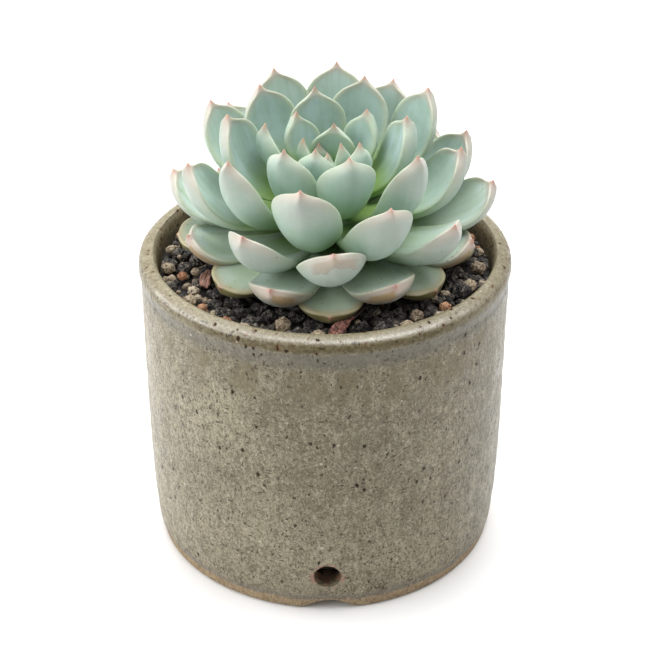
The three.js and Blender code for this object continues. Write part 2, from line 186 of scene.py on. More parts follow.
def spun(u, v, angle):
    """A flat point turned by an angle."""
    return u * np.cos(angle) - v * np.sin(angle), u * np.sin(angle) + v * np.cos(angle)


def polar(azimuth, radius, z):
    a = math.radians(azimuth)
    return np.array([radius * math.sin(a), -radius * math.cos(a), z])


def wobble(points, size, seed):
    """Smooth noise from -1 to 1 at each point, with features of about that size."""
    shift = Vector((seed * 7.31, seed * 3.17, seed * 5.77))
    return np.array([noise.noise(Vector(p) / size + shift) for p in points])


def mesh_object(name, points, faces, material, **attributes):
    """An object at the origin from points in millimetres. Attributes are a number or a vector per point."""
    mesh = bpy.data.meshes.new(name)
    mesh.from_pydata((np.asarray(points) * MM).tolist(), [], faces)
    mesh.materials.append(material)
    for key, values in attributes.items():
        values = np.asarray(values, np.float32)
        kind, field = ("FLOAT", "value") if values.ndim == 1 else ("FLOAT_VECTOR", "vector")
        mesh.attributes.new(key, kind, "POINT").data.foreach_set(field, values.ravel())
    mesh.shade_smooth()
    mesh.validate()
    piece = bpy.data.objects.new(name, mesh)
    bpy.context.scene.collection.objects.link(piece)
    return piece


class Shapes:
    """Collects closed shapes that end up in one mesh, with their attributes."""

    def __init__(self):
        self.points = []
        self.faces = []
        self.values = {}
        self.size = 0

    def add(self, points, faces, **attributes):
        self.points.append(points)
        self.faces.extend([tuple(k + self.size for k in face) for face in faces])
        for key, value in attributes.items():
            value = value if np.ndim(value) else np.full(len(points), value)
            self.values.setdefault(key, []).append(value)
        self.size += len(points)

    def all_points(self):
        return np.concatenate(self.points)

    def build(self, name, material):
        attributes = {key: np.concatenate(parts) for key, parts in self.values.items()}
        return mesh_object(name, self.all_points(), self.faces, material, **attributes)


# ---------- node graphs ----------
def tint(red, green, blue):
    """A display colour from 0 to 255 as the linear colour that shaders take."""
    def linear(c):
        c /= 255
        return c / 12.92 if c <= 0.04045 else ((c + 0.055) / 1.055) ** 2.4
    return (linear(red), linear(green), linear(blue), 1)


class Wire:
    """An output of a node. Sums and products with numbers or other wires add math nodes."""

    def __init__(self, graph, socket):
        self.graph = graph
        self.socket = socket

    def __add__(self, other):
        return self.graph.math("ADD", self, other)

    def __sub__(self, other):
        return self.graph.math("SUBTRACT", self, other)

    def __rsub__(self, other):
        return self.graph.math("SUBTRACT", other, self)

    def __mul__(self, other):
        return self.graph.math("MULTIPLY", self, other)

    def __pow__(self, other):
        return self.graph.math("POWER", self, other)

    def __abs__(self):
        return self.graph.math("ABSOLUTE", self, 0)

    def step(self, low, high):
        """0 below low and 1 above high, with a smooth change between, or the other way round."""
        limits = {"Value": self, "From Min": low, "From Max": high}
        return self.graph.wire("ShaderNodeMapRange", "Result", limits, interpolation_type="SMOOTHSTEP")

    def between(self, from_zero, from_one, to_one, to_zero):
        """1 in a band that fades out on both sides."""
        return self.step(from_zero, from_one) * self.step(to_zero, to_one)

    def spread(self, low, high):
        """Stretches 0 to 1 over low to high."""
        limits = {"Value": self, "To Min": low, "To Max": high}
        return self.graph.wire("ShaderNodeMapRange", "Result", limits)


class Graph:
    """One material. Its calls add nodes and return their outputs."""

    def __init__(self, name):
        self.material = bpy.data.materials.new(name)
        self.material.use_nodes = True
        self.tree = self.material.node_tree
        self.shader = self.tree.nodes["Principled BSDF"]
        self.place = self.wire("ShaderNodeTexCoord", "Object", {})

    def feed(self, socket, value):
        if isinstance(value, Wire):
            self.tree.links.new(value.socket, socket)
        else:
            socket.default_value = value

    def add(self, kind, inputs, **settings):
        node = self.tree.nodes.new(kind)
        for key, value in settings.items():
            setattr(node, key, value)
        for key, value in inputs.items():
            self.feed(node.inputs[key], value)
        return node

    def wire(self, kind, output, inputs, **settings):
        return Wire(self, self.add(kind, inputs, **settings).outputs[output])

    def math(self, operation, a, b):
        return self.wire("ShaderNodeMath", 0, {0: a, 1: b}, operation=operation)

    def mix(self, factor, a, b):
        """From one colour to another. Plain triples are display colours."""
        a, b = (tint(*color) if isinstance(color, tuple) else color for color in (a, b))
        return self.wire("ShaderNodeMix", 2, {0: factor, 6: a, 7: b}, data_type="RGBA")

    def layered(self, color, *layers):
        """Lays colours over another, each as far as its mask lets it."""
        for mask, over in layers:
            color = self.mix(mask, color, over)
        return color

    def stretched(self, stretch, seed):
        shift = (0.13 * seed, 0.29 * seed, 0.17 * seed)
        inputs = {"Vector": self.place, "Location": shift, "Scale": stretch}
        return self.wire("ShaderNodeMapping", "Vector", inputs)

    def noise(self, size, detail=3, stretch=(1, 1, 1), seed=0, roughness=0.55):
        """Noise from 0 to 1 with features of about that size in millimetres."""
        return self.wire("ShaderNodeTexNoise", "Fac", {
            "Vector": self.stretched(stretch, seed), "Scale": 1 / (size * MM), "Detail": detail,
            "Roughness": roughness,
        })

    def cells(self, size, stretch=(1, 1, 1), seed=0, uneven=0):
        """Distance from the nearest cell centre, in millimetres, and a random number for each cell."""
        place = self.stretched(stretch, seed)
        if uneven:
            shake = self.wire("ShaderNodeTexNoise", "Color", {"Vector": place, "Scale": 1 / (0.5 * MM)})
            moved = {0: shake, 1: (uneven * MM,) * 3, 2: place}
            place = self.wire("ShaderNodeVectorMath", 0, moved, operation="MULTIPLY_ADD")
        node = self.add("ShaderNodeTexVoronoi", {"Vector": place, "Scale": 1 / (size * MM)})
        chance = self.wire("ShaderNodeSeparateColor", 0, {0: Wire(self, node.outputs["Color"])})
        return Wire(self, node.outputs["Distance"]) * size, chance

    def specks(self, size, largest, rarity, **place):
        """1 inside scattered spots up to that radius, where a high rarity leaves few of them."""
        distance, chance = self.cells(size, **place)
        return (chance ** rarity * largest - distance).step(0, 0.1)

    def attributes(self, *names, output="Fac"):
        return [self.wire("ShaderNodeAttribute", output, {}, attribute_name=name) for name in names]

    def axes(self):
        """x, y and z of the surface in millimetres."""
        node = self.add("ShaderNodeSeparateXYZ", {0: self.place})
        return [Wire(self, output) * (1 / MM) for output in node.outputs]

    def bump(self, height, socket="Normal"):
        """Relief from a height in millimetres."""
        normal = self.wire("ShaderNodeBump", "Normal", {"Height": height, "Distance": MM})
        self.feed(self.shader.inputs[socket], normal)

    def finish(self, color, roughness, **constants):
        self.feed(self.shader.inputs["Base Color"], color)
        self.feed(self.shader.inputs["Roughness"], roughness)
        for key, value in constants.items():
            self.shader.inputs[key.replace("_", " ")].default_value = value
        return self.material


# ---------- materials ----------
# A layer is a mask, which holds the layer's strength, and a display colour.
def glaze_material():
    """Speckled grey-khaki stoneware glaze over a bare tan foot."""
    g = Graph("stoneware_glaze")
    x, y, z = g.axes()
    up = z - LIP_FOOT
    radius = (x * x + y * y) ** 0.5
    cloud = g.noise(30, seed=1)
    streak = g.noise(5, detail=4, stretch=(1, 1, 0.22), seed=2)
    blotch = g.noise(3.4, detail=4, stretch=(1, 1, 0.7), seed=17, roughness=0.65)
    mottle = g.noise(1, detail=6, stretch=(1, 1, 0.7), seed=3, roughness=0.75)
    grain = g.noise(0.5, seed=4, roughness=0.75)
    web = abs(g.noise(1.9, detail=4, seed=13, roughness=0.7) - 0.5)
    # partly the thicker, darker glaze at the front and partly painted shade: thick darkens the middle and
    # right of the front
    thick = abs(x - 16).step(46, 10) * z.step(20, 44)
    # painted light: low makes the lower body paler on the left
    low = z.step(48, 20) * x.step(34, -6)
    # painted light: the left side of the body is painted paler
    painted_light_left = x.step(-6, -40) * z.step(30, 66)
    base = g.layered(
        g.mix(cloud.step(0.36, 0.64), (144, 136, 109), (120, 113, 89)),
        (thick * 0.5, (102, 95, 72)),
        (low * 0.5, (164, 155, 130)),
        (painted_light_left * 0.24, (176, 168, 142)),
        (streak.step(0.42, 0.68) * 0.5, (148, 140, 115)),
        (blotch.step(0.53, 0.62) * 0.4, (94, 84, 58)),
        (blotch.step(0.47, 0.38) * 0.4, (172, 164, 140)),
        (mottle.step(0.5, 0.58) * 0.6, (80, 70, 46)),
        (mottle.step(0.45, 0.37) * 0.6, (176, 168, 144)),
        (grain.step(0.52, 0.6) * 0.6, (70, 60, 38)),
        (grain.step(0.44, 0.37) * 0.45, (172, 164, 140)),
        (web.step(0.03, 0.006) * 0.45, (60, 49, 29)),
    )

    # the band under the lip is bluer and, as painted shade, darker over an olive run; the lip is warmer and,
    # as painted light, paler; under its shoulder lies a band of painted shade, flecked with brown toast
    drips = g.noise(5, detail=4, stretch=(1, 1, 0.4), seed=16)
    toast_and_shade = g.noise(1.5, detail=5, stretch=(1, 1, 1.4), seed=5, roughness=0.75).step(0.44, 0.6)
    on_lip = up.step(3, 4.4)
    shoulder = up.step(5, 6) * radius.step(53.6, 55)
    painted_shade_below_shoulder = up.between(2.8, 4, 5.3, 6.3) * abs(x).step(30, 44).spread(1, 0.55)

    # inside, the glaze is a paler brown, partly its own colour and partly painted light in the shaded bore;
    # iron specks, finer specks and a few pale spots lie all over, and a ring of thin, pinkish clay lies round
    # the drain hole
    inside = radius.step(52.6, 50.6) * z.step(FLOOR_TOP + 3, FLOOR_TOP + 6)
    iron_cells = dict(stretch=(1, 1, 0.7), seed=6, uneven=1.2)
    iron = g.specks(2.2, 0.6, 1.7, **iron_cells)
    halo = g.specks(2.2, 0.95, 1.7, **iron_cells)
    fine = g.specks(1.15, 0.42, 1.2, stretch=(1, 1, 0.6), seed=7, uneven=0.9)
    dash = g.specks(1.5, 0.5, 1.6, stretch=(0.5, 0.5, 1.3), seed=15, uneven=0.9)
    pale = g.specks(4.6, 0.6, 3, seed=8, uneven=0.9)
    rim_top = up.step(5, 6.4) * radius.step(55.4, 54)
    edge = g.noise(6, detail=2, stretch=(1, 1, 0.05), seed=9).spread(-1.6, 1.6)
    above_line = z - GLAZE_LINE + edge
    side, rise = x - DRAIN["x"], z - DRAIN["z"]
    ring = ((side * side + rise * rise) ** 0.5).step(5.8, 4.6) * y.step(-40, -44)
    patchy = g.noise(2.4, seed=10).step(0.42, 0.6)
    base = g.layered(
        base,
        (up.between(-20, -7, -4, -1) * drips.step(0.4, 0.6) * 0.6, (98, 86, 52)),
        # partly the glaze's bluer colour and partly painted shade: the band under the lip is painted darker
        (up.between(-3.6, 0, 2.4, 3.6) * drips.spread(0.3, 1.2) * 0.9, (94, 90, 78)),
        # partly the lip's warmer glaze and partly painted light: the lip is painted paler
        (on_lip * 0.45, (156, 147, 121)),
        # painted shade: a dark band under the lip's shoulder, made patchy by the toast noise
        (painted_shade_below_shoulder * toast_and_shade.spread(0.62, 0.9), (86, 77, 47)),
        ((shoulder * 0.3 + painted_shade_below_shoulder * 0.5) * toast_and_shade, (78, 60, 32)),
        (inside * 0.6, (152, 139, 112)),
        (pale * 0.7, (188, 180, 158)),
        (halo * on_lip * 0.5, (112, 68, 30)),
        ((fine + dash) * rim_top.spread(0.85, 0.25), (54, 41, 16)),
        (iron, (42, 28, 6)),
        (above_line.between(-0.3, 0.4, 0.6, 3.4) * 0.45, (98, 86, 82)),
        (ring * patchy * 0.75, (152, 112, 94)),
    )

    # bare foot: tan clay below a purplish line
    clay = g.layered(
        g.mix(mottle.step(0.4, 0.6), (178, 159, 130), (148, 128, 102)),
        (grain.step(0.5, 0.62) * 0.65, (92, 72, 52)),
        (fine * 0.6, (64, 48, 36)),
    )
    glazed = above_line.step(-0.35, 0.35)
    color = g.mix(glazed, clay, base)
    rough = g.noise(5, detail=4, seed=11).step(0.3, 0.7).spread(0.3, 0.5)
    rough = rough + (1 - glazed) * 0.5 + on_lip * -0.12
    height = g.noise(4, stretch=(1, 1, 0.5), seed=12) * 1.1 + mottle * 0.5
    g.bump(height + grain * 0.07 + iron * -0.3 + pale * 0.1)
    g.bump(g.noise(3.5, detail=2, stretch=(1, 1, 0.6), seed=14) * 0.35 + mottle * 0.1, "Coat Normal")
    shine = (shoulder * y.step(5, -30) * 0.8 + 0.26) * (1 - (iron + painted_shade_below_shoulder * 0.6))
    g.feed(g.shader.inputs["Coat Weight"], shine * glazed)
    return g.finish(color, rough, Specular_IOR_Level=0.12, Coat_Roughness=0.2, Coat_IOR=1.9)


def leaf_material():
    """Pale blue-green leaf with a waxy bloom, green at the root, creamy margins and a pink point."""
    g = Graph("succulent_leaf")
    along, edge, under, age, tone = g.attributes("along", "edge", "under", "age", "tone")
    rim, end, scuff = g.attributes("rim", "end", "scuff")  # in millimetres
    pores = g.noise(1.1, detail=4, seed=6)
    crumbs = g.noise(0.6, seed=8, roughness=0.7)
    dot = g.specks(1.4, 0.34, 1.8, seed=5, uneven=0.6)

    # the rest lies on the leaf's own place: across, along, and a layer for each leaf
    g.place, = g.attributes("leaf", output="Vector")
    cloud = g.noise(7, seed=1).step(0.3, 0.7)
    vein = g.noise(3.2, detail=2, stretch=(1, 0.12, 1), seed=2)
    patch = g.noise(3, detail=4, seed=3)
    scratch = g.noise(1.1, stretch=(1, 0.2, 1), seed=9)
    old = age.step(0.17, 0.02)
    young = 1 - old * 0.8
    outer = age.step(0.85, 0.5)
    low_whorl = age.step(0.55, 0.2)
    upper_side = 1 - under

    # upper face: grey-green with paler blue zones along the middle, deep green toward the root, partly the
    # leaf's own colour and partly painted shade tinted green where leaves crowd
    upper = g.layered(
        g.mix(cloud, (138, 163, 151), (154, 178, 168)),
        (vein.step(0.4, 0.66) * edge.step(0.95, 0.35) * tone.spread(0.1, 0.6), (164, 188, 192)),
        (vein.step(0.48, 0.3) * 0.12, (112, 142, 128)),
        # painted light: the upper faces of the outer whorls, shaded by the leaves above, are painted paler
        (low_whorl * 0.8, (184, 202, 180)),
        (along.step(0.66, 0.3), (120, 152, 78)),
        # partly the bloom and partly a painted sheen: pale bluish streaks near the outer whorls' margins
        (rim.step(7, 2) * low_whorl * vein.step(0.34, 0.6) * 0.75, (196, 210, 208)),
        (scratch.step(0.64, 0.7) * low_whorl * 0.35, (90, 108, 82)),
    )

    # underside: mint, greener toward the root, partly its own colour and partly painted shade tinted green
    # where leaves crowd, a little lilac-grey toward the point
    flush = along.step(0.66, 0.98) * outer * patch.spread(0.5, 1)
    lower = g.layered(
        g.mix(cloud, (146, 171, 153), (158, 179, 166)),
        (vein.step(0.4, 0.7) * 0.2, (184, 198, 194)),
        (along.step(0.72, 0.35), (124, 156, 92)),
        (flush * 0.72, (166, 158, 154)),
        (edge.step(0.35, 0) * end.step(6, 0.5) * 0.25, (164, 148, 146)),
        (age.step(0.32, 0.1) * rim.step(8, 1.5) * 0.4, (176, 152, 134)),
    )

    # margins: green low down, creamy yellow and then pinkish toward the point, in a soft band
    band = (upper_side + under.spread(0, 0.7) * young) * rim.step(2.8, 0.3)
    band = along.step(0.2, 0.5) * g.math("MINIMUM", band, 1)
    rim_color = g.layered(
        g.mix(along.step(0.4, 0.75), (144, 168, 116), (172, 178, 154)),
        (end.step(15, 5) * outer, (184, 164, 150)),
        (old * 0.8, (172, 142, 84)),
    )

    # a dry tan scuff under the margin of the leaves that rub, with a thin brown outline
    shake = g.noise(4, detail=1, seed=4).spread(-1.6, 1.6)
    fresh = age.step(0.12, 0.25)
    depth = rim + shake + fresh * 0.8
    reach = (scuff + shake) * fresh.spread(2.4, 1)
    scuffed = reach.step(-0.6, 1.8) * depth.step(4.4, 4.1) * rim.step(0.5, 1.1) * under
    outlined = reach.step(0, 2.4) * depth.between(4.1, 4.25, 4.35, 4.55) * under
    rubbed = g.mix(fresh, (162, 138, 98), (158, 140, 122))
    rubbed = g.layered(rubbed, (crumbs.step(0.5, 0.62) * 0.3, (120, 104, 76)))

    # old outer leaves are olive below, and small brown marks lie on the older leaves
    worn = old * under * along.step(0.2, 0.55)
    marked = age.step(0.5, 0.2) * rim.step(8, 3).spread(0.15, 0.8)
    face = g.layered(
        g.mix(under, upper, lower),
        (worn * 0.95, (98, 96, 36)),
        (old * upper_side * (rim.step(6, 1) * 0.3 + 0.2), (126, 134, 88)),
        (band * 0.54, rim_color),
        (end.step(5, 1.2) * young * 0.45, (182, 158, 148)),
        (end.step(2.4, 0.6) * young * 0.6, (184, 136, 126)),
        (end.step(1, 0.2) * 0.6, (170, 92, 84)),
        (scuffed * fresh.spread(0.9, 0.58), rubbed),
        (outlined * fresh.spread(0.5, 0.35), (122, 98, 72)),
        (dot * marked, (104, 90, 62)),
    )
    g.bump(pores * 0.05 + vein * 0.1 + patch * 0.08)
    return g.finish(
        face, patch.step(0.3, 0.7).spread(0.42, 0.58), Subsurface_Weight=0.3, Subsurface_Radius=(1, 1.2, 0.7),
        Subsurface_Scale=0.0022, Sheen_Weight=0.1, Sheen_Roughness=0.5, Specular_IOR_Level=0.4,
    )


def stone_material(name, low, middle, high, pit_shade, pit_size, relief, roughness):
    """Porous stone in three shades by each stone's own tone, with painted shade in its pits and holes and
    painted highlights on its ridges.
    """
    g = Graph(name)
    tone, ridge = g.attributes("tone", "ridge")  # a ridge is 0 in a pit and 1 on a crest
    patch = g.noise(1.7, detail=4, seed=1, roughness=0.6)
    grain = g.noise(0.4, seed=3, roughness=0.7)
    shade = tone * 0.75 + patch * 0.5
    distance, chance = g.cells(pit_size, seed=2)
    hole = distance.step(0.42 * pit_size, 0.12 * pit_size) * chance.step(0.25, 0.5)
    # each stone's tone, then painted highlights on its ridges and painted shade in its low points and holes
    color = g.layered(
        g.mix(shade.step(0.25, 0.6), low, middle),
        (shade.step(0.7, 1.05), high),
        (ridge.step(0.5, 0.85) * grain.step(0.44, 0.58) * 0.85, high),
        (grain.step(0.55, 0.66) * 0.5, high),
        (grain.step(0.46, 0.38) * 0.5, pit_shade),
        (ridge.step(0.45, 0.1) * 0.8, pit_shade),
        (hole * 0.8, pit_shade),
    )
    g.bump(hole * (-0.5 * relief) + grain * (0.6 * relief) + patch * relief)
    return g.finish(color, roughness)


def dried_material(name, low, high, crease_shade):
    """Papery leaf between two shades, with painted shade in its creases, painted highlights on its crumples
    and a dark stalk.
    """
    g = Graph(name)
    along, edge = g.attributes("along", "edge")
    patch = g.noise(1.6, detail=4, seed=1)
    vein = g.noise(0.5, stretch=(1, 1, 0.3), seed=2)
    crinkle = g.noise(0.8, detail=4, stretch=(1, 1, 0.5), seed=3, roughness=0.7)
    color = g.layered(
        g.mix(patch.step(0.3, 0.7), low, high),
        (edge.step(0.25, 0) * 0.5, (96, 58, 50)),
        # painted shade in the creases and painted highlights on the crumples
        (crinkle.step(0.46, 0.56) * (0.8 * crease_shade), (56, 30, 26)),
        (crinkle.step(0.4, 0.32) * 0.6, (206, 158, 140)),
        (along.step(0.96, 1.06), (64, 48, 42)),
    )
    g.bump(vein * 0.12 + patch * 0.2 + crinkle * 0.3)
    return g.finish(color, 0.62)


# ---------- pot ----------
def shell_faces(rings, sides, flip=False):
    """Faces of a chain of rings, closed by two points that follow the rings: one for each end."""
    last = (rings - 1) * sides
    start, end = rings * sides, rings * sides + 1
    faces = []
    for k in range(sides):
        after = (k + 1) % sides
        faces += [(start, after, k), (end, last + k, last + after)]
        for low in range(0, last, sides):
            faces.append((low + k, low + after, low + sides + after, low + sides + k))
    return [face[:1] + face[:0:-1] for face in faces] if flip else faces


def turned(profile, sides, flip=False):
    """Points and faces of a closed body of revolution whose profile starts and ends on the axis."""
    rings = np.array(profile[1:-1], float)
    radius, height = np.repeat(rings, sides, 0).T
    angle = np.tile(2 * np.pi * np.arange(sides) / sides, len(rings))
    points = np.stack([radius * np.sin(angle), -radius * np.cos(angle), height], 1)
    ends = [(0, 0, profile[0][1]), (0, 0, profile[-1][1])]
    return np.concatenate([points, ends]), shell_faces(len(rings), sides, flip)


def rounded(profile, passes):
    """Cuts the corners of an open outline, which keeps it inside them."""
    points = np.array(profile, float)
    for _ in range(passes):
        a, b = points[:-1], points[1:]
        cut = np.stack([0.75 * a + 0.25 * b, 0.25 * a + 0.75 * b], 1).reshape(-1, 2)
        points = np.concatenate([points[:1], cut, points[-1:]])
    return points


def resampled(points, step):
    """Splits long stretches of an outline."""
    out = [points[0]]
    for a, b in zip(points[:-1], points[1:]):
        count = max(1, math.ceil(np.hypot(*(b - a)) / step))
        out.extend(a + (b - a) * k / count for k in range(1, count + 1))
    return np.array(out)


def pot_profile():
    outside = [
        (0, FOOT_RECESS), (FOOT_RING_INNER - 1, FOOT_RECESS), (FOOT_RING_INNER + 0.6, 0),
        (FOOT_RADIUS - 1, 0), (FOOT_RADIUS, 1), (54.9, 9), (55.7, 23), (BODY_RADIUS, 50),
        (BODY_RADIUS, LIP_FOOT - 2), (55.7, LIP_FOOT), (56.1, LIP_FOOT + 1.5), (LIP_RADIUS, LIP_FOOT + 3.4),
        (56.3, LIP_FOOT + 5.2), (55.6, POT_HEIGHT - 1.4), (54.3, POT_HEIGHT - 0.55), (52.8, POT_HEIGHT),
    ]
    inside = [
        (51.6, POT_HEIGHT - 0.3), (RIM_EDGE_RADIUS, POT_HEIGHT - 1.5), (BORE_RADIUS + 0.1, POT_HEIGHT - 4),
        (BORE_RADIUS, FLOOR_TOP + 5), (BORE_RADIUS - 1.4, FLOOR_TOP + 1.4), (BORE_RADIUS - 5, FLOOR_TOP),
        (0, FLOOR_TOP),
    ]
    return resampled(rounded(outside + inside, 3), POT_STEP)


def notch_height(x, y):
    """How far the foot is lifted by the notch at the front."""
    reach = np.abs(x - NOTCH["x"]) / NOTCH["half_width"]
    bump = np.where(reach < 1, 0.5 + 0.5 * np.cos(np.pi * np.clip(reach, 0, 1) ** 1.15), 0)
    return NOTCH["height"] * bump * (y < 0)


def drip(x, z):
    """The thick runs of glaze down the middle of the front, with a narrow groove between them."""
    return sum(h * np.exp(-((x - cx) / w) ** 2 - ((z - cz) / tall) ** 2) for cx, cz, w, tall, h in RUNS)


def make_pot(material):
    base, faces = turned(pot_profile(), POT_SIDES)
    x, y, height = base.T
    radius = np.hypot(x, y)
    on_wall = radius > 40

    # a thrown pot is a little uneven: everything below takes material away from the outline
    broad = 0.5 + 0.5 * wobble(base, 38, 1)
    rings = 0.5 + 0.5 * np.sin(height * 0.82 + 1.6 * wobble(base * (1, 1, 0.4), 30, 2))
    dimples = 0.5 + 0.5 * wobble(base, 7, 3)
    rings = 0.1 * rings * smooth(LIP_FOOT, LIP_FOOT - 6, height)
    away = smooth(2, 9, height) * (0.22 * broad + rings + 0.16 * dimples)
    line = GLAZE_LINE + 1.3 * wobble(base * (1, 1, 0.05), 6, 4)
    away += GLAZE_THICKNESS * smooth(line + 0.4, line - 0.4, height) * smooth(0.3, 1.2, height)
    front = (y < -40) & (height < LIP_FOOT)
    away -= np.where(front, 0.9 * drip(x, height), 0) - 0.05
    away = np.clip(away, -0.42, 1.2) * on_wall * np.where(smooth(50, 53.5, radius) > 0.5, 1, -0.5)
    scale = 1 - away / np.maximum(radius, 1)
    x, y = x * scale, y * scale
    top = smooth(LIP_FOOT + 3, POT_HEIGHT, height)
    z = height - top * (0.12 + 0.3 * (0.5 + 0.5 * wobble(base, 16, 5)) + 0.1 * dimples)

    # the notch lifts the foot ring and fades up the wall, or up to the recess inside the ring
    fades_at = np.where(radius < FOOT_RING_INNER + 0.8, FOOT_RECESS, NOTCH["fades_at"])
    lift = notch_height(x, y) * np.clip(1 - height / fades_at, 0, 1)
    z = z + lift * (radius > FOOT_RING_INNER - 1.2) * (height < NOTCH["fades_at"])
    inner_floor = (height >= FLOOR_TOP - 0.2) & (radius < BORE_RADIUS + 0.3)
    z = np.where(inner_floor, height, z)
    pot = mesh_object("pot_fine", np.stack([x, y, z], 1), faces, material)

    cutter = drain_cutter(material)
    cut = pot.modifiers.new("drain", "BOOLEAN")
    cut.operation = "DIFFERENCE"
    cut.solver = "EXACT"
    cut.object = cutter
    with bpy.context.temp_override(object=pot, active_object=pot):
        bpy.ops.object.modifier_apply(modifier=cut.name)
    bpy.data.objects.remove(cutter)
    pot.data.set_sharp_from_angle(angle=math.radians(50))
    return pot


def drain_cutter(material):
    """A round bar along Y whose outer end flares, so that the hole has a rounded edge."""
    edge, wall = DRAIN["edge"], DRAIN["wall"]
    inner, outer = wall - DRAIN["depth"], wall + 3
    profile = [(0, inner), (DRAIN["radius"], inner)]
    for a in np.radians(range(0, 91, 15)):
        profile.append((DRAIN["radius"] + edge * (1 - math.cos(a)), wall - edge + edge * math.sin(a)))
    profile += [(DRAIN["radius"] + edge + 0.6, outer), (0, outer)]
    points, faces = turned(profile, CUTTER_SIDES)
    side, rise, depth = points.T
    points = np.stack([DRAIN["x"] + side, -depth, DRAIN["z"] + rise], 1)
    return mesh_object("drain_cutter", points, faces, material)


# ---------- rosette ----------
def leaf_outline(length, half, end):
    """Rows of a leaf from root to point: distance along it and half its width there."""
    widest_share, point, narrowing, power, fullness = end
    widest = widest_share * length
    grown = np.linspace(0, 1, BLADE_ROWS)
    blade = half * (0.34 + 0.66 * np.sin(np.pi / 2 * grown) ** 1.4)
    share = np.sin(np.radians(END_ANGLES))
    below_point = (length - widest - point) * (1 - (1 - share**power) ** (1 / fullness))
    below_point += point * (1 - np.exp(-share * half / narrowing))
    return np.concatenate([grown * widest, length - below_point]), np.concatenate([blade, share * half])


def thickness_share(t, plump):
    body = 0.5 + 0.5 * np.sin(np.pi * t / 1.2)
    end = np.clip((t - 0.7) / 0.3, 0, 1)
    return body * np.sqrt(1 - 0.96 * end**plump)


def midline(whorl, index, t):
    """Points of the leaf's midline and its directions: radius from the stem, and height."""
    outward, up = whorl["shift"].get(index, (0, 0))
    a = np.array([3, whorl["root"]])
    d = np.array([whorl["reach"] + outward, whorl["tip"] + up])
    span = np.hypot(*(d - a))
    rises = [math.radians(r) for r in whorl["rise"]]
    steer = [pull * span * np.array([math.cos(r), math.sin(r)]) for pull, r in zip(whorl["pull"], rises)]
    b, c = a + steer[0], d - steer[1]
    s = t[:, None]
    place = (1 - s) ** 3 * a + 3 * (1 - s) ** 2 * s * b + 3 * (1 - s) * s**2 * c + s**3 * d
    heading = 3 * (1 - s) ** 2 * (b - a) + 6 * (1 - s) * s * (c - b) + 3 * s**2 * (d - c)
    return place, heading / np.linalg.norm(heading, axis=1)[:, None]


def lean(p):
    """From the rosette's upright frame to the leaning one."""
    y, z = spun(p[:, 1], p[:, 2] - LEAN_PIVOT, LEAN)
    return np.stack([AXIS_X + p[:, 0], y, LEAN_PIVOT + z], 1)


def distance_to_line(points, line):
    """How far each flat point lies from a chain of straight stretches."""
    run = np.diff(line, axis=0)
    squared = np.maximum((run**2).sum(1), 1e-9)
    nearest = np.full(len(points), np.inf)
    for start, step, length in zip(line, run, squared):
        share = np.clip((points - start) @ step / length, 0, 1)
        nearest = np.minimum(nearest, np.hypot(*(points - start - share[:, None] * step).T))
    return nearest


